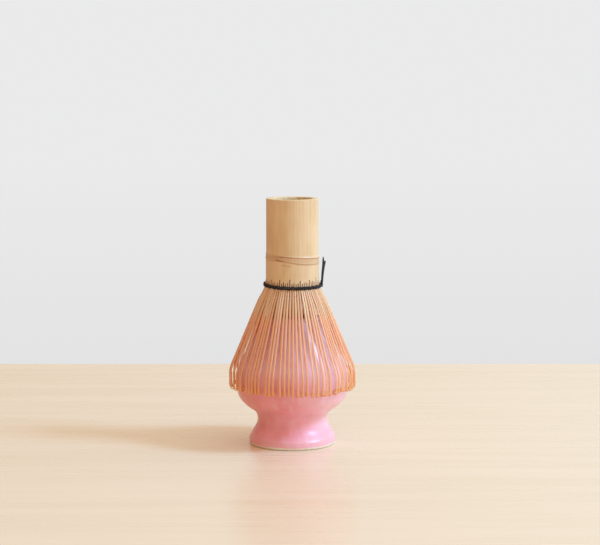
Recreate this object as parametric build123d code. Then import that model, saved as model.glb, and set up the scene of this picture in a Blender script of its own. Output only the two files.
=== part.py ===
"""Bamboo tea whisk (chasen) standing tines-down on its glazed ceramic holder.

Millimetres and degrees. The origin is the centre of the holder's foot, on the table, and +Z is up.
The whisk is one length of bamboo culm: a hollow handle with a node, whose lower wall is split into
a ring of outer tines and a ring of inner tines. A black thread woven round them just below the
handle keeps the rings apart. The outer tines spread over the holder's dome, and the inner tines
hang through its mouth into the hollow inside.
"""

import math
import os

from build123d import *

# Holder
FOOT_R = 23.3
FOOT_SIDE_H = 3.6
FOOT_RING_INNER_R = 18.5
FOOT_RECESS_H = 2.5
NECK_R = 18.8
NECK_Z = 13.5
DOME_R = 30.3
DOME_WIDEST_Z = 34.0
RIM_Z = 69.4
RIM_R = 14.5
WALL = 2.6
FLOOR_Z = 6.5
FOOT_ARCS = 3
DOME_ARCS = 8

# Culm, from the split collar up to the cut end of the handle
CULM_R = 14.0
LOWER_CULM_R = 14.2
LOWER_CULM_TOP_Z = 101.95
CULM_STEP_H = 0.45
CULM_BORE_R = 10.8
CULM_TOP_Z = 132.5
END_CHAMFER = 0.35
NODE_Z = 100.0
NODE_HEIGHT = 2.2
NODE_PROUD = 0.3
NODE_TILT = 2.0
DIAPHRAGM_LOW_Z = 98.8
DIAPHRAGM_THICK = 2.2
DISH_RIM = 2.4
DISH_DEPTH = 0.8
WALL_END_Z = 91.0
WALL_END_BORE_R = 12.3
COLLAR_END_Z = 84.9
COLLAR_THICK = 0.75
SLOT_WIDTH = 0.3
SLOT_TOP_Z = 87.8
SPLIT_TOP_Z = 89.4

# Tines: 16 splits, and each gives five outer tines and five inner tines
SPLITS = 16
TINES_PER_SPLIT = 5
PITCH = 360 / (SPLITS * TINES_PER_SPLIT)
FIRST_AZIMUTH = -115.75

# Outer tine, along the middle of its thickness, as (distance from the axis, height)
TINE_TOP = (14.6, 84.8)
TINE_FLARE = (18.5, 77.1)
TINE_BEND = (31.35, 46.2)
TINE_DROP = (33.55, 39.6)
CURL_Z = 31.7
CURL_R = 1.2
CURL_TURN = 215
TINE_THICK = (0.72, 0.62, 0.44, 0.34, 0.28)
TINE_WIDTHS = ((TINE_TOP[1], 0.92), (77.0, 1.08), (50.0, 1.14), (30.0, 0.84))
BUNDLES = (3, 7, 2, 3, 5) * 4
BUNDLE_LEAN = 0.9
FULL_LEAN_SIZE = 3
TINE_SPLAY = 0.25

# Inner tine, of a long and a short kind by turns
INNER_ROOT_R = 12.8
INNER_BIND = (12.1, 81.2)
INNER_TIPS = ((7.2, 38.6), (5.3, 42.2))
INNER_CURL_R = 0.8
INNER_CURL_TURN = 150
INNER_DROP_H = 2.0
INNER_THICK = (0.55, 0.5, 0.32, 0.3)
INNER_WIDTHS = ((WALL_END_Z, 0.72), (80.0, 0.7), (36.0, 0.32))

# Thread
THREAD_R = 0.5
THREAD_PLAY = 0.2
THREAD_Z = 86.0
THREAD_ROW_STEP = 1.05
THREAD_TILT = 1.6
KNOT_SIZE = (1.1, 2.2, 4.4)
KNOT_LOW_Z = 84.6
LONG_END = ((16.75, 89.0), (16.85, 94.0), (17.3, 98.0), (17.0, 101.0))
SHORT_END = ((16.75, 89.0), (17.0, 93.5), (18.0, 98.9))
END_SIDE = 0.55

OVERRUN = 2.0  # how far a cutting shape runs past what it cuts


def xz(*points):
    """Points given as (distance from the axis, height), in the XZ plane."""
    return [(radius, 0, height) for radius, height in points]


def path(*points):
    """Straight edges through points given as (distance from the axis, height)."""
    return Polyline(*xz(*points)).edges()


def curve(points, tangents=None):
    """One smooth edge through points given as (distance from the axis, height)."""
    return Spline(*xz(*points), tangents=xz(*tangents) if tangents else None)


def arcs(points, tangents, count):
    """A smooth line through the points, as a chain of arcs that meet without a corner."""
    line = curve(points, tangents)
    ends = [step / count for step in range(count + 1)]
    return [
        TangentArc(line @ start, line @ end, tangent=line % start)
        for start, end in zip(ends, ends[1:])
    ]


def revolved(*edges):
    """The solid that a closed outline in the XZ plane makes by turning about the axis."""
    return revolve(make_face(edges), Axis.Z)


def holder_body():
    """The holder: a foot, a waist and a dome round a hollow, in one glazed shell."""
    lip_z = RIM_Z - WALL / 2
    mouth_r = RIM_R - WALL
    neck_bore_r = NECK_R - WALL
    outside = [
        *path((FOOT_RING_INNER_R, 0), (FOOT_R - 0.8, 0), (FOOT_R, 0.8), (FOOT_R, FOOT_SIDE_H)),
        *arcs(
            [(FOOT_R, FOOT_SIDE_H), (21.4, 7.6), (19.4, 10.4), (NECK_R, NECK_Z)],
            [(-0.5, 1), (0, 1)],
            FOOT_ARCS,
        ),
        *arcs(
            [
                (NECK_R, NECK_Z),
                (20.0, 17.4),
                (25.4, 21.6),
                (29.1, 26.4),
                (DOME_R, DOME_WIDEST_Z),
                (28.8, 42.4),
                (24.5, 51.2),
                (19.0, 60.2),
                (RIM_R, lip_z),
            ],
            [(0, 1), (-0.4, 1)],
            DOME_ARCS,
        ),
        ThreePointArc(*xz((RIM_R, lip_z), (RIM_R - WALL / 2, RIM_Z), (mouth_r, lip_z))),
    ]
    inside = [
        *arcs(
            [
                (mouth_r, lip_z),
                (16.6, 58.8),
                (25.8, 41.8),
                (DOME_R - WALL, DOME_WIDEST_Z),
                (23.6, 24.0),
                (neck_bore_r, NECK_Z + 2),
            ],
            [(0.35, -1), (-0.5, -1)],
            DOME_ARCS,
        ),
        *path(
            (neck_bore_r, NECK_Z + 2),
            (neck_bore_r, FLOOR_Z),
            (0, FLOOR_Z),
            (0, FOOT_RECESS_H),
            (FOOT_RING_INNER_R, FOOT_RECESS_H),
            (FOOT_RING_INNER_R, 0),
        ),
    ]
    return revolved(*outside, *inside)


def collar_slots():
    """The knife cuts between the outer tines, which are longest between two splits."""
    slots = []
    for number in range(SPLITS * TINES_PER_SPLIT):
        top = SPLIT_TOP_Z if number % TINES_PER_SPLIT == 0 else SLOT_TOP_Z
        height = top - COLLAR_END_Z + OVERRUN
        slot = Pos(CULM_R, 0, top - height / 2) * Box(2 * OVERRUN, SLOT_WIDTH, height)
        slots.append(slot.rotate(Axis.Z, FIRST_AZIMUTH + (number - 0.5) * PITCH))
    return slots


def node_band():
    """The raised ring at the node: two ridges with a groove between them, highest at the front."""
    inside_r = LOWER_CULM_R - 1.0
    half = NODE_HEIGHT / 2
    band = revolved(
        *path(
            (inside_r, -half - 0.4),
            (LOWER_CULM_R - 0.1, -half - 0.4),
            (LOWER_CULM_R + NODE_PROUD, -half + 0.2),
            (LOWER_CULM_R + 0.5 * NODE_PROUD, 0),
            (LOWER_CULM_R + NODE_PROUD, half - 0.2),
            (LOWER_CULM_R - 0.1, half + 0.4),
            (inside_r, half + 0.4),
            (inside_r, -half - 0.4),
        )
    )
    return Location((0, 0, NODE_Z), (-NODE_TILT, 0, 0)) * band


def handle_culm():
    """The bamboo tube: open at its cut end, and thinned to a slotted collar at its other end.

    It is a little thicker from the node down, as bamboo often is.
    """
    end_r = TINE_TOP[0] + COLLAR_THICK / 2
    tube = revolved(
        *path(
            (end_r, COLLAR_END_Z),
            (LOWER_CULM_R, WALL_END_Z),
            (LOWER_CULM_R, LOWER_CULM_TOP_Z),
            (CULM_R, LOWER_CULM_TOP_Z + CULM_STEP_H),
            (CULM_R, CULM_TOP_Z - END_CHAMFER),
            (CULM_R - END_CHAMFER, CULM_TOP_Z),
            (CULM_BORE_R + END_CHAMFER, CULM_TOP_Z),
            (CULM_BORE_R, CULM_TOP_Z - END_CHAMFER),
            (CULM_BORE_R, DIAPHRAGM_LOW_Z - 2),
            (WALL_END_BORE_R, WALL_END_Z + 1),
            (WALL_END_BORE_R, WALL_END_Z),
            (LOWER_CULM_R - COLLAR_THICK, WALL_END_Z),
            (end_r - COLLAR_THICK, COLLAR_END_Z),
            (end_r, COLLAR_END_Z),
        )
    )
    return (tube + node_band()) - collar_slots()


def node_diaphragm():
    """The wall across the culm at its node, with a shallow dish on its upper side."""
    top = DIAPHRAGM_LOW_Z + DIAPHRAGM_THICK
    dish_r, dish_z = CULM_BORE_R - DISH_RIM, top - DISH_DEPTH
    return revolved(
        *path(
            (0, DIAPHRAGM_LOW_Z),
            (CULM_BORE_R, DIAPHRAGM_LOW_Z),
            (CULM_BORE_R, top),
            (dish_r, dish_z),
            (0, dish_z),
            (0, DIAPHRAGM_LOW_Z),
        )
    )


def face_points(middle, thicknesses, side):
    """The middle line moved by half its thickness, outwards for side 1 and inwards for side -1."""
    points = []
    last = len(middle) - 1
    for place, (point, thick) in enumerate(zip(middle, thicknesses)):
        above, below = middle[max(place - 1, 0)], middle[min(place + 1, last)]
        run_r, run_z = below[0] - above[0], below[1] - above[1]
        shift = side * thick / 2 / math.hypot(run_r, run_z)
        points.append((point[0] - run_z * shift, point[1] + run_r * shift))
    return points


def curl_arc(centre, radius, turn):
    """The arc of a curl, which starts outside its centre and turns under it, and where it ends."""
    ends = [
        (centre[0] + radius * math.cos(angle), centre[1] - radius * math.sin(angle))
        for angle in (0, math.radians(turn / 2), math.radians(turn))
    ]
    return ThreePointArc(*xz(*ends)), ends[-1]


def width_prism(widths, reach):
    """The prism that gives a tine its width at each (height, width)."""
    right = [(reach, width / 2, height) for height, width in widths]
    left = [(reach, -width / 2, height) for height, width in reversed(widths)]
    outline = make_face(Polyline(*right, *left, close=True))
    return extrude(outline, amount=reach, dir=(-1, 0, 0))


def tine_solid(front, back, curl_centre, curl_r, curl_turn, tip_thick, widths):
    """A tine from the edges of its two faces, its curl and its widths."""
    curl_out, end_out = curl_arc(curl_centre, curl_r + tip_thick / 2, curl_turn)
    curl_in, end_in = curl_arc(curl_centre, curl_r - tip_thick / 2, curl_turn)
    top = Line(front[0] @ 0, back[0] @ 0)
    outline = make_face([*front, curl_out, *path(end_out, end_in), curl_in, *back, top])
    slab = extrude(outline, amount=OVERRUN, dir=(0, 1, 0), both=True)
    return (slab & width_prism(widths, CULM_R + DOME_R)).solid()


def outer_face(middle, side):
    """One face of an outer tine: a flare, a straight slope, a bend and a straight drop."""
    top, flare, bend, drop, end = face_points(middle, TINE_THICK, side)
    slope = (bend[0] - flare[0], bend[1] - flare[1])
    return [
        curve([top, flare], [(0.45, -1), slope]),
        *path(flare, bend),
        curve([bend, drop], [slope, (0, -1)]),
        *path(drop, end),
    ]


def outer_tine():
    """An outer tine at azimuth zero: it flares over the dome, drops, and curls in at its tip."""
    drop_low = (TINE_DROP[0], CURL_Z)
    middle = [TINE_TOP, TINE_FLARE, TINE_BEND, TINE_DROP, drop_low]
    tip_thick = TINE_THICK[-1]
    curl_centre = (TINE_DROP[0] - CURL_R, CURL_Z)
    front, back = outer_face(middle, 1), outer_face(middle, -1)
    return tine_solid(front, back, curl_centre, CURL_R, CURL_TURN, tip_thick, TINE_WIDTHS)


def inner_tine(tip):
    """An inner tine at azimuth zero: it leans in through the holder's mouth and curls in."""
    tip_r, tip_z = tip
    middle = [(INNER_ROOT_R, WALL_END_Z), INNER_BIND, (tip_r, tip_z + INNER_DROP_H), tip]
    front = path(*face_points(middle, INNER_THICK, 1))
    back = path(*face_points(middle, INNER_THICK, -1))
    curl_centre = (tip_r - INNER_CURL_R, tip_z)
    tip_thick = INNER_THICK[-1]
    return tine_solid(
        front, back, curl_centre, INNER_CURL_R, INNER_CURL_TURN, tip_thick, INNER_WIDTHS
    )


def bundle_leans():
    """How far each outer tine leans sideways, towards the middle of its bundle."""
    leans = []
    for size in BUNDLES:
        step = BUNDLE_LEAN * min(1, FULL_LEAN_SIZE / size)
        leans += [-step * (place - (size - 1) / 2) for place in range(size)]
    return leans


def outer_tine_at(tine, number, lean):
    """The outer tine in its place, leaning sideways and splayed a little from its top."""
    top = (TINE_TOP[0], 0, TINE_TOP[1])
    splay = TINE_SPLAY * (1 + math.sin(2.4 * number))
    leaning = tine.rotate(Axis(top, (1, 0, 0)), lean)
    splayed = leaning.rotate(Axis(top, (0, 1, 0)), -splay)
    return splayed.rotate(Axis.Z, FIRST_AZIMUTH + number * PITCH)


def tines_of_split(split):
    """The numbers of the tines that come from one split."""
    return range(split * TINES_PER_SPLIT, (split + 1) * TINES_PER_SPLIT)


def outer_face_r(height):
    """The distance from the axis to the outer tines' outer face, near the thread."""
    slope = (TINE_FLARE[0] - TINE_TOP[0]) / (TINE_TOP[1] - TINE_FLARE[1])
    return TINE_TOP[0] + TINE_THICK[0] / 2 + max(0, TINE_TOP[1] - height) * slope


def outer_row(height):
    """One row of the thread round the outer tines, tilted, and following their cone."""
    radius = outer_face_r(height) + THREAD_R + THREAD_PLAY
    drop = radius * math.tan(math.radians(THREAD_TILT))
    shift = outer_face_r(height - drop) - outer_face_r(height)
    return Location((shift, 0, height), (0, THREAD_TILT, 0)) * Torus(radius, THREAD_R)


def inner_row():
    """The row of the thread round the inner tines, a little lower down."""
    radius = INNER_BIND[0] + INNER_THICK[1] / 2 + THREAD_R + THREAD_PLAY / 4
    return Pos(0, 0, INNER_BIND[1]) * Torus(radius, THREAD_R)


def thread_knot():
    """The knot at the right of the thread, a flat upright bead outside both rows."""
    radial, across, tall = KNOT_SIZE
    low_z = THREAD_Z - THREAD_ROW_STEP
    inner_r = outer_face_r(low_z) + 2 * (THREAD_R + THREAD_PLAY)
    bead = Pos(inner_r + radial / 2, 0, KNOT_LOW_Z + tall / 2) * Box(radial, across, tall)
    return fillet(bead.edges(), radial * 0.4)


def thread_end(corners, side):
    """One end of the thread, which stands up from the knot beside the handle."""
    middle = FilletPolyline(*[(radius, side, height) for radius, height in corners], radius=8)
    return sweep(Plane(middle @ 0, z_dir=middle % 0) * Circle(THREAD_R), path=middle)


def main():
    """Writes one STEP file for each node."""
    os.makedirs("parts", exist_ok=True)
    nodes = {
        "holder_body": holder_body(),
        "handle_culm": handle_culm(),
        "node_diaphragm": node_diaphragm(),
        "thread_row_upper": outer_row(THREAD_Z + THREAD_ROW_STEP / 2),
        "thread_row_lower": outer_row(THREAD_Z - THREAD_ROW_STEP / 2),
        "thread_row_inner": inner_row(),
        "thread_knot": thread_knot(),
        "thread_end_long": thread_end(LONG_END, -END_SIDE),
        "thread_end_short": thread_end(SHORT_END, END_SIDE),
    }
    outer, leans = outer_tine(), bundle_leans()
    inners = [inner_tine(tip) for tip in INNER_TIPS]
    for split in range(SPLITS):
        numbers = tines_of_split(split)
        nodes[f"outer_tines_{split + 1:02d}"] = Compound(
            [outer_tine_at(outer, n, leans[n]) for n in numbers]
        )
        nodes[f"inner_tines_{split + 1:02d}"] = Compound(
            [inners[n % 2].rotate(Axis.Z, FIRST_AZIMUTH + (n + 0.5) * PITCH) for n in numbers]
        )
    for name, shape in nodes.items():
        export_step(shape, f"parts/{name}.step")


main()
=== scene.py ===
"""Looks of the bamboo tea whisk on its glazed holder.

The object's sizes are in millimetres until a mesh is made, and the stage's are in metres.
"""

import math
import random

import bpy
from mathutils import Matrix, Vector


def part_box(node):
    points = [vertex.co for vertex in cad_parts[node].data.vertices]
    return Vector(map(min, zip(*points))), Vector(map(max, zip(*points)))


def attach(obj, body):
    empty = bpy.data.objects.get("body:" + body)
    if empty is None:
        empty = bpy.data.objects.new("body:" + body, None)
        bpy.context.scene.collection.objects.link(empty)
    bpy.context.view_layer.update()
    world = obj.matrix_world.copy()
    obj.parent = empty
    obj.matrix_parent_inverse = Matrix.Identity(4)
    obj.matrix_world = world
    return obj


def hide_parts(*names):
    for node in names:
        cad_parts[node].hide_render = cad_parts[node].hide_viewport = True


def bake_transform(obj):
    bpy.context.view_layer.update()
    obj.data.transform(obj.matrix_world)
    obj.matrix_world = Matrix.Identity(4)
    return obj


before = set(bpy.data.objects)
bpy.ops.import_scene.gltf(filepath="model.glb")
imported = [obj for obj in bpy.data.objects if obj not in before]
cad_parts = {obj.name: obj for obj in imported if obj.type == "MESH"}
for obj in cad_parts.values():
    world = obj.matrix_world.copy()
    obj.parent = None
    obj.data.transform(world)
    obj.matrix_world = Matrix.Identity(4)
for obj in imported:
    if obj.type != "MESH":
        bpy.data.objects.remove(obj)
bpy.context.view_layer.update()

MM = 0.001

# How the tines are shared out and turned round the culm
SPLITS = 16
TINES_PER_SPLIT = 5
TINE_COUNT = SPLITS * TINES_PER_SPLIT
PITCH = 360 / TINE_COUNT
FIRST_AZIMUTH = -115.75
SPLIT_NAMES = [f"{split + 1:02d}" for split in range(SPLITS)]

# How the outer tines lean together in bundles, stray, stand off the dome and wave
BUNDLES = (3, 7, 2, 3, 5) * 4
BUNDLE_LEAN = 0.9
FULL_LEAN_SIZE = 3
UNEVEN_LEAN = 0.45
STRAY_LEANS = {59: 1.1, 60: -1.0, 71: 0.8, 72: -0.8}
TINE_SPLAY = 0.25
TINE_WAVE = 0.3


def box_mm(node):
    """A CAD node's lowest and highest corners, in millimetres."""
    low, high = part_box(node)
    return Vector(low) / MM, Vector(high) / MM


RIM_Z = box_mm("holder_body")[1].z
CULM_TOP_Z = box_mm("handle_culm")[1].z
DIAPHRAGM_LOW, DIAPHRAGM_HIGH = box_mm("node_diaphragm")

# The holder's wall, and the rounding of its lip
HOLDER_SIDES = 192
HOLDER_WALL = 2.6
LIP_R = 1.3
LIP_MIDDLE_R, LIP_SIDE_R = 13.2, 14.5
LIP_Z = RIM_Z - LIP_R

# The culm's skin and bore, its node, and the collar that is cut into tines below its wall
CULM_SIDES = 320
CULM_R = 14.0
CULM_BORE_R = DIAPHRAGM_HIGH.x
LOWER_CULM_EXTRA, LOWER_CULM_TOP_Z = 0.2, 102.6
RIM_ROUND = 0.35
NODE_UPPER_Z, NODE_LOWER_Z = 102.0, 99.4
WALL_END_R, WALL_END_Z = 12.3, 91.0
COLLAR_TOP_Z, COLLAR_LOW_Z = 91.6, 85.2
COLLAR_THICK = 0.75
CUT_HALF_WIDTH = 0.18
LONG_CUT_Z, SHORT_CUT_Z = 89.9, 88.2

# Where an outer tine bends, and where it starts to hang straight down
HINGE_R, HINGE_Z = 14.6, 84.8
TINE_DROP_R, TINE_DROP_Z = 33.55, 36.0

# The bindings: each strand's radius, and the ring that it follows
THREAD_STEPS = 1600
THREAD_R, THREAD_ROW_R, THREAD_ROW_Z = 0.44, 15.02, 86.05
TWINE_OUT, TWINE_SWING = 0.3, 0.64
THREAD_DIP, THREAD_TILT = 0.45, 1.6
INNER_THREAD_STEPS = 600
INNER_THREAD_R, INNER_ROW_R, INNER_ROW_Z = 0.45, 12.9, 81.2
KNOT_STEPS, KNOT_TURNS = 160, 4.2


# Mesh making


def new_object(name, vertices, faces, material, smooth=True):
    """A mesh object from points in millimetres."""
    mesh = bpy.data.meshes.new(name)
    mesh.from_pydata([(x * MM, y * MM, z * MM) for x, y, z in vertices], [], faces)
    mesh.validate()
    for polygon in mesh.polygons:
        polygon.use_smooth = smooth
    mesh.materials.append(material)
    made = bpy.data.objects.new(name, mesh)
    bpy.context.scene.collection.objects.link(made)
    return made


def ring_faces(rings, around, start=0, closed_along=False, caps=False):
    """The faces that join rings of points one after another, each ring closed on itself."""
    faces = []
    for ring in range(rings if closed_along else rings - 1):
        below = start + ring * around
        above = start + ((ring + 1) % rings) * around
        for side in range(around):
            after = (side + 1) % around
            faces.append((below + side, below + after, above + after, above + side))
    if caps:
        faces.append(tuple(start + side for side in reversed(range(around))))
        last = start + (rings - 1) * around
        faces.append(tuple(last + side for side in range(around)))
    return faces


def write_attribute(thing, name, kind, values):
    """A point attribute on a mesh, from one value for each vertex."""
    layer = thing.data.attributes.new(name, kind, "POINT")
    key = "vector" if kind == "FLOAT_VECTOR" else "value"
    flat = [part for value in values for part in value] if key == "vector" else values
    layer.data.foreach_set(key, flat)


def smooth_path(points, per_span):
    """Points along a smooth curve through the given ones, which may be of any dimension."""
    points = [Vector(point) for point in points]
    first = points[0] * 2 - points[1]
    last = points[-1] * 2 - points[-2]
    padded = [first, *points, last]
    path = []
    for place in range(1, len(padded) - 2):
        a, b, c, d = padded[place - 1 : place + 3]
        for step in range(per_span):
            t = step / per_span
            path.append(
                0.5
                * (
                    2 * b
                    + (c - a) * t
                    + (2 * a - 5 * b + 4 * c - d) * t * t
                    + (3 * b - a - 3 * c + d) * t**3
                )
            )
    path.append(points[-1])
    return path


def arc_points(centre, radius, start, turn, count):
    """Points of an arc in the (distance from the axis, height) plane, turning downwards first."""
    angles = [math.radians(start + turn * step / count) for step in range(1, count + 1)]
    return [
        Vector((centre[0] + radius * math.cos(a), centre[1] - radius * math.sin(a)))
        for a in angles
    ]


def soft_step(value):
    """Zero below 0, one above 1, and smooth between."""
    value = min(1.0, max(0.0, value))
    return value * value * (3 - 2 * value)


def bell(value, centre, spread):
    """One at the centre, falling smoothly to nothing within about two spreads."""
    return math.exp(-(((value - centre) / spread) ** 2))


def lathe(name, profile, around, material, closed, out_of_round=None):
    """A turned surface from (distance from the axis, height) points, with optional unevenness."""
    vertices, grain = [], []
    for radius, height in profile:
        for side in range(around):
            turn = math.tau * side / around
            r = radius + (out_of_round(turn, radius, height) if out_of_round else 0)
            vertices.append((r * math.cos(turn), r * math.sin(turn), height))
            grain.append((turn * radius, height, 0))
    faces = ring_faces(len(profile), around, closed_along=closed)
    made = new_object(name, vertices, faces, material)
    write_attribute(made, "grain", "FLOAT_VECTOR", grain)
    return made


def strand(name, path, radius, material, closed=False, plies=3, lay=2.6, taper=0.0):
    """A twisted thread along a path: its plies show as lobes that turn once in each lay length."""
    around, lobe = 18, 0.2
    count = len(path)
    vertices, grain = [], []
    forward = [
        (path[(i + 1) % count] - path[i - 1]) if closed else
        (path[min(i + 1, count - 1)] - path[max(i - 1, 0)])
        for i in range(count)
    ]
    forward = [step.normalized() for step in forward]
    up = Vector((0, 0, 1))
    if abs(forward[0].dot(up)) > 0.9:
        up = Vector((0, 1, 0))
    side = forward[0].cross(up).normalized()
    run = 0.0
    for i, point in enumerate(path):
        side = (side - forward[i] * side.dot(forward[i])).normalized()
        other = forward[i].cross(side)
        if i:
            run += (point - path[i - 1]).length
        twist = math.tau * run / lay
        shrink = 1 - taper * soft_step((i / (count - 1) - 0.86) / 0.14)
        for corner in range(around):
            turn = math.tau * corner / around
            r = radius * shrink * (1 - lobe + lobe * math.cos(plies * (turn - twist)))
            spot = point + side * (r * math.cos(turn)) + other * (r * math.sin(turn))
            vertices.append(tuple(spot))
            grain.append((turn - twist, run, 0))
    faces = ring_faces(count, around, closed_along=closed, caps=not closed)
    made = new_object(name, vertices, faces, material)
    write_attribute(made, "grain", "FLOAT_VECTOR", grain)
    return made


# Materials


def material_start(name):
    """A new material, its node tree and its shader."""
    made = bpy.data.materials.new(name)
    made.use_nodes = True
    tree = made.node_tree
    return made, tree, tree.nodes["Principled BSDF"]


def srgb(red, green, blue):
    """A colour given as display values up to 255, in linear light."""
    linear = []
    for level in (red, green, blue):
        share = level / 255
        linear.append(share / 12.92 if share <= 0.04045 else ((share + 0.055) / 1.055) ** 2.4)
    return (*linear, 1.0)


def attribute_node(tree, name, output):
    """A named mesh attribute's output."""
    node = tree.nodes.new("ShaderNodeAttribute")
    node.attribute_name = name
    return node.outputs[output]


def object_coords(tree):
    """The coordinates of the piece, in metres."""
    return tree.nodes.new("ShaderNodeTexCoord").outputs["Object"]


def stretched(tree, vector, scale):
    """A vector scaled by a different number on each axis."""
    node = tree.nodes.new("ShaderNodeMapping")
    node.inputs["Scale"].default_value = scale
    tree.links.new(vector, node.inputs["Vector"])
    return node.outputs["Vector"]


def noise(tree, vector, scale, detail=4.0, roughness=0.55):
    """A noise between 0 and 1."""
    node = tree.nodes.new("ShaderNodeTexNoise")
    node.inputs["Scale"].default_value = scale
    node.inputs["Detail"].default_value = detail
    node.inputs["Roughness"].default_value = roughness
    tree.links.new(vector, node.inputs["Vector"])
    return node.outputs["Fac"]


def remap(tree, value, low, high, to_low=0.0, to_high=1.0):
    """A value between low and high, moved to run between two others, and held there."""
    node = tree.nodes.new("ShaderNodeMapRange")
    node.inputs["From Min"].default_value = low
    node.inputs["From Max"].default_value = high
    node.inputs["To Min"].default_value = to_low
    node.inputs["To Max"].default_value = to_high
    tree.links.new(value, node.inputs["Value"])
    return node.outputs["Result"]


def combine(tree, operation, a, b):
    """Two values, or a value and a number, put together by a math operation."""
    node = tree.nodes.new("ShaderNodeMath")
    node.operation = operation
    for socket, value in zip(node.inputs, (a, b)):
        if isinstance(value, (int, float)):
            socket.default_value = value
        else:
            tree.links.new(value, socket)
    return node.outputs["Value"]


def blend_colours(tree, share, a, b, mode="MIX"):
    """Two colours mixed by a share, which may be a number."""
    node = tree.nodes.new("ShaderNodeMix")
    node.data_type = "RGBA"
    node.blend_type = mode
    factor, first, second = node.inputs[0], node.inputs[6], node.inputs[7]
    for socket, value in ((factor, share), (first, a), (second, b)):
        if isinstance(value, (int, float, tuple)):
            socket.default_value = value
        else:
            tree.links.new(value, socket)
    return node.outputs[2]


def separated(tree, vector):
    """The three parts of a vector."""
    node = tree.nodes.new("ShaderNodeSeparateXYZ")
    tree.links.new(vector, node.inputs["Vector"])
    return node.outputs


def bumped(tree, shader, height, strength, distance_mm):
    """Gives a shader a bump from a height."""
    node = tree.nodes.new("ShaderNodeBump")
    node.inputs["Strength"].default_value = strength
    node.inputs["Distance"].default_value = distance_mm * MM
    tree.links.new(height, node.inputs["Height"])
    tree.links.new(node.outputs["Normal"], shader.inputs["Normal"])


def bamboo_fibres(tree, across_scale=2.2, along_scale=0.035):
    """Three noises drawn out along the fibres: fine strands, wider streaks and slow patches."""
    grain = attribute_node(tree, "grain", "Vector")
    fine = noise(tree, stretched(tree, grain, (across_scale * 2.4, along_scale * 2, 1)), 1.0, 5.0)
    streak = noise(tree, stretched(tree, grain, (across_scale * 0.5, along_scale, 1)), 1.0, 3.0)
    patch = noise(tree, stretched(tree, grain, (0.09, 0.05, 1)), 1.0, 2.0)
    return fine, streak, patch


def culm_material():
    """The handle's waxy skin: straight fibres, slow patches, and browner lines at the node; the
    same brown is painted shade along the collar's cuts.
    """
    made, tree, shader = material_start("bamboo_culm")
    fine, streak, patch = bamboo_fibres(tree)
    pale, tan, deep = srgb(233, 202, 160), srgb(226, 186, 138), srgb(199, 149, 97)
    colour = blend_colours(tree, remap(tree, streak, 0.32, 0.7), tan, pale)
    colour = blend_colours(tree, remap(tree, fine, 0.5, 0.8, 0, 0.4), colour, deep)
    colour = blend_colours(tree, remap(tree, patch, 0.45, 0.75, 0, 0.35), colour, deep)
    # The mark gives the node's brown lines, and painted shade along the collar's cuts
    mark = attribute_node(tree, "mark", "Fac")
    colour = blend_colours(tree, mark, colour, srgb(172, 109, 71))
    tree.links.new(colour, shader.inputs["Base Color"])
    tree.links.new(remap(tree, streak, 0.3, 0.7, 0.34, 0.5), shader.inputs["Roughness"])
    shader.inputs["Coat Weight"].default_value = 0.12
    shader.inputs["Coat Roughness"].default_value = 0.3
    bumped(tree, shader, combine(tree, "ADD", fine, streak), 0.35, 0.12)
    return made


def cut_bamboo_material(name, pale, deep):
    """Bamboo cut across or scraped: a pithy ground with the dark ends of its fibre bundles."""
    made, tree, shader = material_start(name)
    coords = object_coords(tree)
    cells = tree.nodes.new("ShaderNodeTexVoronoi")
    cells.inputs["Scale"].default_value = 1 / (0.62 * MM)
    tree.links.new(stretched(tree, coords, (1, 1, 0.12)), cells.inputs["Vector"])
    dots = remap(tree, cells.outputs["Distance"], 0.16, 0.3, 0.75, 0.0)
    cloud = noise(tree, coords, 1 / (2.5 * MM), 4.0)
    colour = blend_colours(tree, remap(tree, cloud, 0.35, 0.7), pale, deep)
    colour = blend_colours(tree, dots, colour, srgb(134, 92, 56))
    tree.links.new(colour, shader.inputs["Base Color"])
    tree.links.new(remap(tree, cloud, 0.3, 0.7, 0.6, 0.8), shader.inputs["Roughness"])
    bumped(tree, shader, combine(tree, "ADD", cloud, dots), 0.5, 0.1)
    return made


def tine_material():
    """A split tine: pale where shaved, amber along its length, partly its own colour and partly a
    painted pink reflection of the holder, and ochre in its curl.
    """
    made, tree, shader = material_start("bamboo_tine")
    fine, streak, _ = bamboo_fibres(tree, 4.0, 0.06)
    tone = attribute_node(tree, "tone", "Fac")
    along = attribute_node(tree, "along", "Fac")
    pale, tan, amber = srgb(240, 203, 164), srgb(215, 160, 114), srgb(247, 170, 128)
    fibre, ochre = srgb(192, 126, 76), srgb(240, 171, 103)
    colour = blend_colours(tree, tone, pale, tan)
    # Amber from low on the tine down: partly the bamboo's own colour, partly a painted reflection
    # of the pink holder
    colour = blend_colours(tree, remap(tree, along, 0.22, 0.32, 0, 0.6), colour, amber)
    colour = blend_colours(tree, remap(tree, fine, 0.45, 0.8, 0, 0.45), colour, fibre)
    colour = blend_colours(tree, remap(tree, streak, 0.55, 0.75, 0, 0.4), colour, pale)
    colour = blend_colours(tree, remap(tree, along, 0.74, 0.88, 0, 0.75), colour, ochre)
    tree.links.new(colour, shader.inputs["Base Color"])
    tree.links.new(remap(tree, fine, 0.3, 0.7, 0.38, 0.58), shader.inputs["Roughness"])
    shader.inputs["Subsurface Weight"].default_value = 0.5
    shader.inputs["Subsurface Radius"].default_value = (1.0, 0.6, 0.35)
    shader.inputs["Subsurface Scale"].default_value = 0.8 * MM
    bumped(tree, shader, fine, 0.4, 0.08)
    return made


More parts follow.
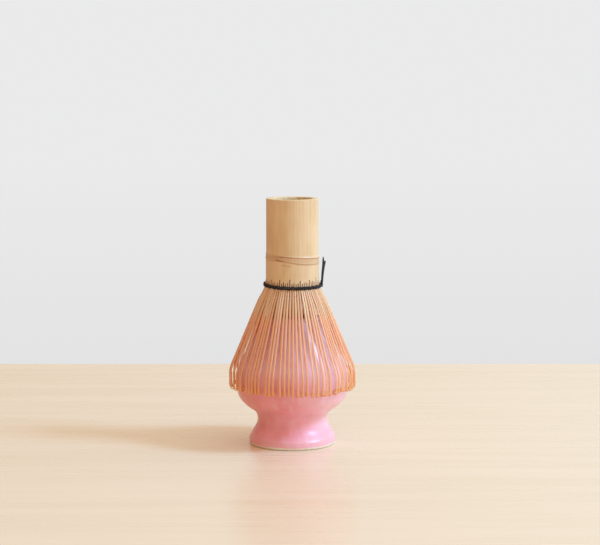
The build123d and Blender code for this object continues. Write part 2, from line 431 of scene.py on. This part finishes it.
def thread_material():
    """Black waxed cotton: near black, with fine fibres along its plies and a soft sheen."""
    made, tree, shader = material_start("black_thread")
    grain = attribute_node(tree, "grain", "Vector")
    fibre = noise(tree, stretched(tree, grain, (9.0, 2.4, 1)), 1.0, 4.0)
    black, worn = srgb(14, 8, 6), srgb(54, 36, 28)
    colour = blend_colours(tree, remap(tree, fibre, 0.35, 0.75), black, worn)
    tree.links.new(colour, shader.inputs["Base Color"])
    tree.links.new(remap(tree, fibre, 0.3, 0.7, 0.6, 0.85), shader.inputs["Roughness"])
    shader.inputs["Sheen Weight"].default_value = 0.1
    shader.inputs["Sheen Roughness"].default_value = 0.5
    bumped(tree, shader, fibre, 0.7, 0.12)
    return made


def glaze_material():
    """Pink glaze: cloudy, thin on edges, with pinholes and paler places, over a bare foot ring;
    painted shade browns its left side, and painted light pales its right side and the dome under
    the tines.
    """
    made, tree, shader = material_start("pink_glaze")
    coords = object_coords(tree)
    cloud = noise(tree, coords, 1 / (11 * MM), 4.0, 0.6)
    speckle = noise(tree, coords, 1 / (0.9 * MM), 3.0, 0.6)
    streak = noise(tree, stretched(tree, coords, (1, 1, 0.3)), 1 / (4 * MM), 3.0)
    deep, rose, pale = srgb(238, 148, 155), srgb(249, 168, 179), srgb(255, 200, 213)
    colour = blend_colours(tree, remap(tree, cloud, 0.34, 0.66), deep, rose)
    colour = blend_colours(tree, remap(tree, streak, 0.5, 0.78, 0, 0.55), colour, pale)
    pinholes = remap(tree, speckle, 0.66, 0.76, 0, 0.2)
    colour = blend_colours(tree, pinholes, colour, srgb(214, 120, 116))
    sideways, _, height = separated(tree, coords)
    above_foot = remap(tree, height, 7 * MM, 13 * MM, 0.25, 1)
    # Painted shade: the glaze is browner on its left side, away from the window light
    browner = combine(tree, "MULTIPLY", above_foot, remap(tree, sideways, 0, -18 * MM, 0, 0.45))
    colour = blend_colours(tree, browner, colour, srgb(238, 148, 132))
    # Painted light: the glaze is paler on its right side, towards the window light
    paler = combine(tree, "MULTIPLY", above_foot, remap(tree, sideways, 2 * MM, 18 * MM, 0, 0.55))
    colour = blend_colours(tree, paler, colour, srgb(255, 214, 226))
    foot = remap(tree, height, 8 * MM, 3 * MM, 0, 0.35)
    colour = blend_colours(tree, foot, colour, srgb(255, 210, 220))
    # Painted light: the glaze is paler and cooler from the belly up, standing in for the light that
    # reaches the dome between the tines
    dome = remap(tree, height, 33 * MM, 44 * MM, 0, 0.75)
    colour = blend_colours(tree, dome, colour, srgb(255, 220, 230))
    thin = combine(tree, "MULTIPLY", attribute_node(tree, "mark", "Fac"), 0.6)
    colour = blend_colours(tree, thin, colour, srgb(224, 150, 122))
    swell = combine(tree, "MULTIPLY", combine(tree, "SUBTRACT", cloud, 0.5), 0.9 * MM)
    bare = remap(tree, combine(tree, "ADD", height, swell), 1.3 * MM, 1.55 * MM, 1.0, 0.0)
    grit = remap(tree, speckle, 0.3, 0.7)
    clay = blend_colours(tree, grit, srgb(252, 238, 222), srgb(236, 214, 190))
    colour = blend_colours(tree, bare, colour, clay)
    tree.links.new(colour, shader.inputs["Base Color"])
    gloss = remap(tree, cloud, 0.3, 0.7, 0.36, 0.46)
    rough = tree.nodes.new("ShaderNodeMix")
    tree.links.new(bare, rough.inputs[0])
    tree.links.new(gloss, rough.inputs[2])
    rough.inputs[3].default_value = 0.85
    tree.links.new(rough.outputs[0], shader.inputs["Roughness"])
    shader.inputs["Coat Weight"].default_value = 0.35
    shader.inputs["Coat Roughness"].default_value = 0.27
    shader.inputs["Subsurface Weight"].default_value = 0.3
    shader.inputs["Subsurface Radius"].default_value = (1.0, 0.35, 0.3)
    shader.inputs["Subsurface Scale"].default_value = 2.0 * MM
    relief = combine(tree, "ADD", cloud, combine(tree, "MULTIPLY", speckle, 0.25))
    bumped(tree, shader, relief, 0.3, 0.25)
    return made


CULM_SKIN = culm_material()
CUT_BAMBOO = cut_bamboo_material("bamboo_cut", srgb(238, 214, 168), srgb(216, 182, 128))
INNER_BAMBOO = cut_bamboo_material("bamboo_inside", srgb(222, 188, 136), srgb(184, 140, 90))
TINE = tine_material()
THREAD = thread_material()
GLAZE = glaze_material()


# Holder


# The holder's section, as (distance from the axis, height) points
HOLDER_OUTSIDE = (
    (22.3, 0.0), (22.4, 0.22), (22.95, 0.4), (23.2, 1.0), (23.3, 2.2), (23.15, 3.7),
    (22.4, 4.9), (21.1, 7.4), (19.5, 10.2), (18.8, 13.5), (20.0, 17.4), (25.4, 21.6),
    (29.1, 26.4), (30.3, 34.0), (28.8, 42.4), (24.5, 51.2), (19.0, 60.2), (LIP_SIDE_R, LIP_Z),
)
HOLDER_INSIDE = (
    (LIP_SIDE_R - HOLDER_WALL, LIP_Z), (16.6, 58.8), (25.8, 41.8), (27.7, 34.0),
    (23.6, 24.0), (16.2, 15.5), (16.2, 8.0), (14.8, 6.6), (8.0, 6.5), (0.4, 6.5),
)
HOLDER_UNDER = ((0.4, 2.5), (10, 2.5), (17.6, 2.4), (18.4, 1.4), (18.6, 0.2), (19.2, 0.0))


def holder_unevenness(turn, radius, height):
    """How far the holder's surface stands from a true turned one."""
    slow = 0.07 * math.sin(2 * turn + 0.6) + 0.04 * math.sin(3 * turn + height / 9)
    return slow * soft_step(height / 6) * soft_step(radius / 8)


def holder():
    """The holder, turned and a little uneven, with thin glaze on its lip and the foot's edge."""
    lip = [
        Vector((LIP_MIDDLE_R + LIP_R * math.cos(a), LIP_Z + LIP_R * math.sin(a)))
        for a in [math.pi * step / 12 for step in range(1, 12)]
    ]
    under = [Vector(point) for point in HOLDER_UNDER]
    profile = [*smooth_path(HOLDER_OUTSIDE, 8), *lip, *smooth_path(HOLDER_INSIDE, 6), *under]
    made = lathe("holder_glazed", profile, HOLDER_SIDES, GLAZE, True, holder_unevenness)
    marks = []
    for radius, height in profile:
        lip_share = soft_step((height - (RIM_Z - 1.6)) / 1.4)
        edge_share = bell(height, 3.9, 0.6) if radius > 22 else 0
        marks += [max(lip_share, 0.5 * edge_share)] * HOLDER_SIDES
    write_attribute(made, "mark", "FLOAT", marks)
    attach(made, "holder")
    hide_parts("holder_body")


# Culm


# The brown marks round the node: their azimuth, height and strength
NODE_SMUDGES = (
    (-126, 100.7, 0.4),
    (-120, 100.3, 0.8),
    (-113, 100.0, 0.6),
    (-110, 97.8, 0.45),
    (-98, 97.4, 0.4),
    (-114, 102.2, 0.5),
    (40, 99.6, 0.5),
)


def node_band(turn, height):
    """How far the node stands proud, and how dark its lines are, at a place on the culm."""
    turn = math.remainder(turn, math.tau)
    upper = NODE_UPPER_Z - 0.9 * math.cos(turn) - 0.2 * math.sin(turn)
    lower = NODE_LOWER_Z - 1.25 * math.tanh(2.3 * math.cos(turn))
    between = soft_step((height - lower + 0.5) / 0.9) * soft_step((upper + 0.6 - height) / 0.9)
    ridge = bell(height, upper, 0.45) + 0.8 * bell(height, lower, 0.42)
    groove = bell(height, upper - 0.62, 0.2) + 0.6 * bell(height, lower - 0.6, 0.22)
    fade = 0.25 + 0.6 * soft_step((math.cos(turn) + 0.8) / 0.3)
    line = fade * bell(height, upper - 0.4, 0.26) + bell(height, lower - 0.4, 0.3)
    smudge = sum(
        share * bell(turn, math.radians(where), 0.09) * bell(height, middle, 0.4)
        for where, middle, share in NODE_SMUDGES
    )
    return 0.1 * between + 0.2 * ridge - 0.08 * groove, 0.62 * line + 0.28 * between + smudge


def culm_shape(turn, radius, height):
    """The culm's departures from a true cylinder: it is a little thicker from the node down."""
    flutes = 0.05 * math.sin(2 * turn + 1.0) + 0.03 * math.sin(5 * turn + 0.4)
    proud, _ = node_band(turn, height)
    lower = LOWER_CULM_EXTRA * soft_step((LOWER_CULM_TOP_Z - height) / 1.6)
    return flutes + (proud + lower if radius > CULM_R - 0.5 else 0)


def culm():
    """The handle: skin outside, cut rim on top, and the scraped wall inside."""
    over_node = [WALL_END_Z + 0.25 * step for step in range(53)]
    above_node = [104.25 + 1.4 * step for step in range(20)]
    skin = [(CULM_R, height) for height in (*over_node, *above_node, CULM_TOP_Z - RIM_ROUND)]
    made = lathe("culm_skin", skin, CULM_SIDES, CULM_SKIN, False, culm_shape)
    marks = [
        min(1.0, node_band(math.tau * side / CULM_SIDES, height)[1])
        for _, height in skin
        for side in range(CULM_SIDES)
    ]
    write_attribute(made, "mark", "FLOAT", marks)
    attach(made, "whisk")
    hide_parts("handle_culm")
    bore, top = CULM_BORE_R, CULM_TOP_Z
    rim = [
        (CULM_R, top - RIM_ROUND), (CULM_R - 0.06, top - 0.12), (CULM_R - 0.3, top),
        (13.0, top - 0.02), (12.0, top), (bore + 0.3, top - 0.03),
        (bore + 0.02, top - 0.3), (bore, top - 1.5),
    ]
    rim_piece = lathe("culm_cut_rim", rim, CULM_SIDES, CUT_BAMBOO, False, culm_shape)
    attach(rim_piece, "whisk")
    wall = [(bore, height) for height in (top - 1.5, 125, 118, 110, 103, 98.5, 96.8)]
    wall += [(WALL_END_R, WALL_END_Z + 1)]
    wall += [(radius, WALL_END_Z) for radius in (WALL_END_R, 13.25, CULM_R)]
    inner = lathe("culm_inner_wall", wall, CULM_SIDES, INNER_BAMBOO, False)
    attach(inner, "whisk")


def slot_top(number, draw):
    """How high the cut beside a tine runs: a long one between two splits, a short one elsewhere."""
    between_splits = number % TINES_PER_SPLIT == 0
    return (LONG_CUT_Z if between_splits else SHORT_CUT_Z) + draw.uniform(-0.4, 0.9)


def collar():
    """The thinned collar above the thread, with the knife's cuts through it and painted shade along
    their edges.
    """
    draw = random.Random(7)
    tops = [slot_top(number, draw) for number in range(TINE_COUNT)]
    columns, rows = 5, 26
    vertices, grain, cells, marks = [], [], [], []
    turns, edges = [], []
    for number in range(TINE_COUNT):
        left = math.radians(FIRST_AZIMUTH + (number - 0.5) * PITCH)
        half = CUT_HALF_WIDTH / CULM_R
        tooth = math.radians(PITCH) - 2 * half
        for column in range(columns):
            turns.append(left + half + tooth * column / (columns - 1))
            edges.append({0: number, columns - 1: number + 1}.get(column))
    for row in range(rows + 1):
        height = COLLAR_TOP_Z - (COLLAR_TOP_Z - COLLAR_LOW_Z) * row / rows
        below = WALL_END_Z - height
        radius = CULM_R + (0.021 * below**2 if below > 0 else -0.03)
        for turn, edge in zip(turns, edges):
            r = radius + culm_shape(turn, CULM_R, height)
            vertices.append((r * math.cos(turn), r * math.sin(turn), height))
            grain.append((turn % math.tau * CULM_R, height, 0))
            # Painted shade: the points at each cut's edges get the mark, which browns them for the
            # shade inside the narrow cut
            painted_cut_shade = edge is not None and height < tops[edge % TINE_COUNT]
            marks.append(1.0 if painted_cut_shade else 0.0)
    total = len(turns)
    for row in range(rows):
        low = COLLAR_TOP_Z - (COLLAR_TOP_Z - COLLAR_LOW_Z) * (row + 1) / rows
        a, b = row * total, (row + 1) * total
        for side in range(total):
            after = (side + 1) % total
            at_cut = side % columns == columns - 1
            if at_cut and low < tops[edges[side] % TINE_COUNT]:
                continue
            cells.append((a + side, b + side, b + after, a + after))
    made = new_object("culm_split_collar", vertices, cells, CULM_SKIN)
    write_attribute(made, "grain", "FLOAT_VECTOR", grain)
    write_attribute(made, "mark", "FLOAT", marks)
    thick = made.modifiers.new("thickness", "SOLIDIFY")
    thick.thickness = COLLAR_THICK * MM
    thick.offset = -1
    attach(made, "whisk")


def diaphragm():
    """The wall across the culm at its node, dished and pithy."""
    top, low = DIAPHRAGM_HIGH.z, DIAPHRAGM_LOW.z
    rim = CULM_BORE_R - 0.01
    dish = ((rim, top), (9.4, top - 0.5), (7.6, top - 0.8), (3.5, top - 0.7), (0.3, top - 0.62))
    under = [Vector(point) for point in ((0.3, low), (6, low + 0.02), (rim, low + 0.1))]
    made = lathe("node_wall", [*smooth_path(dish, 5), *under], 96, INNER_BAMBOO, True)
    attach(made, "whisk")
    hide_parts("node_diaphragm")


# Tines


TINE_CORNERS = 9
INNER_TIPS = ((7.2, 38.6), (5.3, 42.2))


def tine_section(width, thick, crown):
    """The corners of a tine's section, as (across, outwards), its outer face a little round."""
    w, t = width / 2, thick / 2
    edge = min(w, t) * 0.35
    return [
        (-w, -t + edge), (-w + edge, -t), (w - edge, -t), (w, -t + edge),
        (w, t - edge), (w - edge, t), (0, t + crown), (-w + edge, t), (-w, t - edge),
    ]


def tine_strip(middle, thicks, widths, azimuth, bend, tone, store):
    """Adds one tine to a store of points, faces and attributes."""
    start = len(store["points"])
    grain_shift = 3.7 * len(store["faces"]) % 61
    ahead = Matrix.Rotation(math.radians(azimuth), 3, "Z")
    length = sum((b - a).length for a, b in zip(middle, middle[1:]))
    run = 0.0
    for place, point in enumerate(middle):
        if place:
            run += (point - middle[place - 1]).length
        share = run / length
        before, after = middle[max(place - 1, 0)], middle[min(place + 1, len(middle) - 1)]
        direction = (after - before).normalized()
        out = Vector((-direction.y, direction.x))
        width, thick = widths(share, point), thicks(share)
        for across, outwards in tine_section(width, thick, 0.06 * thick):
            flat = Vector((point.x + out.x * outwards, across, point.y + out.y * outwards))
            store["points"].append(tuple(ahead @ bend(flat, share)))
            store["grain"].append((across + grain_shift, run, tone * 10))
            store["tone"].append(tone)
            store["along"].append(share)
    store["faces"] += ring_faces(len(middle), TINE_CORNERS, start, caps=True)


def finish_tines(name, store):
    """A mesh from a store of tines."""
    made = new_object(name, store["points"], store["faces"], TINE)
    write_attribute(made, "grain", "FLOAT_VECTOR", store["grain"])
    write_attribute(made, "tone", "FLOAT", store["tone"])
    write_attribute(made, "along", "FLOAT", store["along"])
    return made


def empty_store():
    """A store of points, faces and attributes for tines."""
    return {"points": [], "faces": [], "grain": [], "tone": [], "along": []}


def bundle_leans():
    """How far each outer tine leans sideways, towards the middle of its bundle."""
    leans = []
    for size in BUNDLES:
        step = BUNDLE_LEAN * min(1, FULL_LEAN_SIZE / size)
        leans += [-step * (place - (size - 1) / 2) for place in range(size)]
    return leans


def outer_middle(curl_r, curl_turn, curl_z):
    """The middle line of an outer tine, from inside the thread to the end of its curl."""
    knee, shoulder = (24.0, 63.9), (TINE_DROP_R, TINE_DROP_Z)
    flare = smooth_path([(14.42, 86.0), (14.62, 84.8), (16.1, 81.6), (18.5, 77.1), knee], 5)
    slope = smooth_path(
        [knee, (28.6, 52.8), (31.35, 46.2), (32.85, 42.4), (33.5, 39.4), shoulder], 5
    )
    drop = [
        Vector((TINE_DROP_R, TINE_DROP_Z + (curl_z - TINE_DROP_Z) * step / 3))
        for step in (1, 2, 3)
    ]
    curl = arc_points((TINE_DROP_R - curl_r, curl_z), curl_r, 0, curl_turn, 16)
    return [*flare, *slope[1:], *drop, *curl]


def outer_tines():
    """The outer tines, one mesh for each split, each tine leaning, splaying and waving a little
    below its hinge.
    """
    draw = random.Random(1241)
    leans = bundle_leans()

    def thicks(share):
        return 0.72 - 0.4 * soft_step(share * 1.15)

    def widths(share, point):
        opening = 0.94 + 0.22 * soft_step((86 - point.y) / 14)
        return opening * (1 - 0.14 * soft_step((share - 0.6) / 0.4))

    for split, name in enumerate(SPLIT_NAMES):
        store = empty_store()
        for number in range(split * TINES_PER_SPLIT, (split + 1) * TINES_PER_SPLIT):
            lean = leans[number] + draw.uniform(-UNEVEN_LEAN, UNEVEN_LEAN)
            lean += STRAY_LEANS.get(number, 0)
            splay = TINE_SPLAY * (1 + math.sin(2.4 * number))
            wave = draw.uniform(-TINE_WAVE, TINE_WAVE)
            curl_r, curl_turn = draw.uniform(1.0, 1.32), draw.uniform(190, 300)
            middle = outer_middle(curl_r, curl_turn, draw.uniform(31.4, 32.6))

            def bend(point, share, lean=lean, splay=splay, wave=wave):
                pivot = Vector((HINGE_R, 0, HINGE_Z))
                part = soft_step((HINGE_Z + 1 - point.z) / 3)
                turn = Matrix.Rotation(math.radians(lean * part), 3, "X")
                turn = Matrix.Rotation(math.radians(-splay * part), 3, "Y") @ turn
                moved = pivot + turn @ (point - pivot)
                moved.y += wave * math.sin(math.pi * min(1, share * 1.1))
                return moved

            azimuth = FIRST_AZIMUTH + number * PITCH
            tine_strip(middle, thicks, widths, azimuth, bend, draw.random(), store)
        made = finish_tines(f"outer_tines_{name}_split", store)
        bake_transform(made)
        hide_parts(f"outer_tines_{name}")


def inner_tines():
    """The inner tines, which lean in through the holder's mouth, by turns long and short."""
    draw = random.Random(23)
    store = empty_store()

    def unbent(point, _):
        return point

    def thicks(share):
        return 0.55 - 0.25 * share

    def widths(share, _):
        return 0.72 - 0.4 * soft_step(share * 1.1)

    for number in range(TINE_COUNT):
        tip_r, tip_z = INNER_TIPS[number % 2]
        halfway = ((12.1 + tip_r) / 2, (INNER_ROW_Z + tip_z + 2) / 2)
        root = [(12.8, WALL_END_Z), (12.5, 86.0), (12.1, INNER_ROW_Z)]
        middle = smooth_path([*root, halfway, (tip_r, tip_z + 2), (tip_r, tip_z)], 5)
        middle += arc_points((tip_r - 0.8, tip_z), 0.8, 0, draw.uniform(120, 160), 8)
        azimuth = FIRST_AZIMUTH + (number + 0.5) * PITCH
        tine_strip(middle, thicks, widths, azimuth, unbent, draw.random(), store)
    made = finish_tines("inner_tine_ring", store)
    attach(made, "whisk")
    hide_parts(*[f"inner_tines_{name}" for name in SPLIT_NAMES])


# Thread


def binding_point(turn, radius, height):
    """A point of the outer binding, which is tied by hand: tilted, and lowest at the front."""
    dip = THREAD_DIP * math.exp(2.5 * (math.cos(turn + math.radians(108)) - 1))
    tilt = radius * math.cos(turn) * math.tan(math.radians(THREAD_TILT))
    return Vector((radius * math.cos(turn), radius * math.sin(turn), height - tilt - dip))


def thread():
    """Two strands twined round the outer tines, and one round the inner tines."""
    twines = TINE_COUNT // 2
    for phase, name in ((0, "thread_row_upper"), (math.pi, "thread_row_lower")):
        path = []
        for step in range(THREAD_STEPS):
            turn = math.tau * step / THREAD_STEPS
            swing = math.sin(twines * turn + phase) + 0.18 * math.sin(7 * turn + phase)
            swing += 0.14 * math.sin(23 * turn + 2 * phase)
            radius = THREAD_ROW_R + TWINE_OUT * math.cos(twines * turn + phase)
            path.append(binding_point(turn, radius, THREAD_ROW_Z + TWINE_SWING * swing))
        made = strand(f"{name}_strand", path, THREAD_R, THREAD, closed=True)
        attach(made, "whisk")
        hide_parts(name)
    ring = []
    for step in range(INNER_THREAD_STEPS):
        turn = math.tau * step / INNER_THREAD_STEPS
        height = INNER_ROW_Z + 0.15 * math.sin(twines * turn)
        ring.append(Vector((INNER_ROW_R * math.cos(turn), INNER_ROW_R * math.sin(turn), height)))
    row = strand("thread_row_inner_strand", ring, INNER_THREAD_R, THREAD, closed=True)
    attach(row, "whisk")
    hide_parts("thread_row_inner")


# The paths of the two ends, from the knot upwards
THREAD_ENDS = (
    ("thread_end_long", (
        (15.8, -0.3, 86.0), (15.9, -0.45, 89.0), (16.15, -0.5, 93.0), (16.5, -0.5, 97.0),
        (16.55, -0.5, 101.0),
    )),
    ("thread_end_short", (
        (15.9, 0.3, 86.0), (16.1, 0.45, 89.0), (16.5, 0.45, 93.0), (17.15, 0.45, 97.0),
        (17.6, 0.5, 98.9),
    )),
)


def knot_and_ends():
    """The knot's wraps, and the two stiff ends that stand up from it."""
    low, high = box_mm("thread_knot")
    centre = (low + high) / 2
    wraps = []
    for step in range(KNOT_STEPS):
        share = step / (KNOT_STEPS - 1)
        turn = math.tau * KNOT_TURNS * share
        wraps.append(Vector((
            centre.x - 1.2 + 0.32 * math.cos(turn),
            0.75 * math.sin(turn),
            low.z + 0.55 + (high.z - low.z - 1.1) * share,
        )))
    knot = strand("thread_knot_wraps", wraps, 0.46, THREAD)
    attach(knot, "whisk")
    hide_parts("thread_knot")
    for name, points in THREAD_ENDS:
        made = strand(f"{name}_strand", smooth_path(points, 24), 0.6, THREAD, taper=0.4)
        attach(made, "whisk")
        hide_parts(name)


# Stage


def floor_material():
    """A pale wooden table top with faint streaks."""
    made, tree, shader = material_start("table")
    grain = stretched(tree, object_coords(tree), (1, 14, 1))
    streak = noise(tree, grain, 4.0, 5.0)
    darker, paler = srgb(232, 210, 177), srgb(238, 217, 187)
    colour = blend_colours(tree, remap(tree, streak, 0.3, 0.7), darker, paler)
    tree.links.new(colour, shader.inputs["Base Color"])
    tree.links.new(remap(tree, streak, 0.3, 0.7, 0.24, 0.32), shader.inputs["Roughness"])
    return made


# The window's place, target, size, power and colour, in metres and watts
WINDOW = ((1.43, -0.31, 1.44), (0, 0, 0.06), (0.42, 0.42), 20, (0.52, 1.0, 1.73))

# The room's light from the dim side, from the window's side, and what its ceiling adds
ROOM_SHADE = (0.3, 0.13, 0.06, 1)
ROOM_LIGHT = (1.14, 1.3, 1.2, 1)
CEILING_LIGHT = (0.27, 0.08, 0.03, 1)


def area_light(name, place, target, size, power, colour):
    """A soft rectangular light that points at a target, in metres."""
    data = bpy.data.lights.new(name, "AREA")
    data.shape = "RECTANGLE"
    data.size, data.size_y = size
    data.energy = power
    data.color = colour
    made = bpy.data.objects.new(name, data)
    made.location = place
    made.rotation_euler = (Vector(target) - Vector(place)).to_track_quat("-Z", "Y").to_euler()
    bpy.context.scene.collection.objects.link(made)


def stage():
    """The table, which ends behind the object, the light and the pale surroundings."""
    near, far, side, thick = -2.2, 0.25, 2.4, 0.03
    corners = [
        (x / MM, y / MM, z / MM) for z in (-thick, 0) for y in (near, far) for x in (-side, side)
    ]
    faces = [(0, 1, 3, 2), (4, 6, 7, 5), (0, 4, 5, 1), (2, 3, 7, 6), (0, 2, 6, 4), (1, 5, 7, 3)]
    floor = new_object("table_top", corners, faces, floor_material(), smooth=False)
    area_light("window", *WINDOW)
    surroundings()
    bpy.context.scene.view_settings.view_transform = "Standard"


def surroundings():
    """A pale grey backdrop, and soft light that is cooler and brighter on the window's side."""
    world = bpy.data.worlds.new("surroundings")
    world.use_nodes = True
    bpy.context.scene.world = world
    tree = world.node_tree
    backdrop = tree.nodes["Background"]
    room = tree.nodes.new("ShaderNodeBackground")
    direction = tree.nodes.new("ShaderNodeTexCoord").outputs["Generated"]
    sideways, _, upwards = separated(tree, direction)
    share = remap(tree, sideways, -0.95, 0.95)
    haze = remap(tree, upwards, -0.17, -0.05)
    grey = blend_colours(tree, haze, srgb(227, 227, 228), srgb(234, 234, 235))
    tree.links.new(grey, backdrop.inputs["Color"])
    walls = blend_colours(tree, share, ROOM_SHADE, ROOM_LIGHT)
    overhead = remap(tree, upwards, 0.15, 0.9)
    light = blend_colours(tree, overhead, walls, CEILING_LIGHT, "ADD")
    tree.links.new(light, room.inputs["Color"])
    chosen = tree.nodes.new("ShaderNodeMixShader")
    seen = tree.nodes.new("ShaderNodeLightPath").outputs["Is Camera Ray"]
    tree.links.new(seen, chosen.inputs[0])
    tree.links.new(room.outputs[0], chosen.inputs[1])
    tree.links.new(backdrop.outputs[0], chosen.inputs[2])
    tree.links.new(chosen.outputs[0], tree.nodes["World Output"].inputs["Surface"])


def camera():
    """A long lens a little above the object, which stands left of the middle of the frame."""
    data = bpy.data.cameras.new("camera")
    data.sensor_width = 36
    data.lens = 100.6
    made = bpy.data.objects.new("camera", data)
    made.location = (0.0041, -0.894, 0.196)
    made.rotation_euler = (math.radians(90 - 6.6), 0, 0)
    bpy.context.scene.collection.objects.link(made)
    bpy.context.scene.camera = made


camera()
stage()
holder()
culm()
collar()
diaphragm()
outer_tines()
inner_tines()
thread()
knot_and_ends()
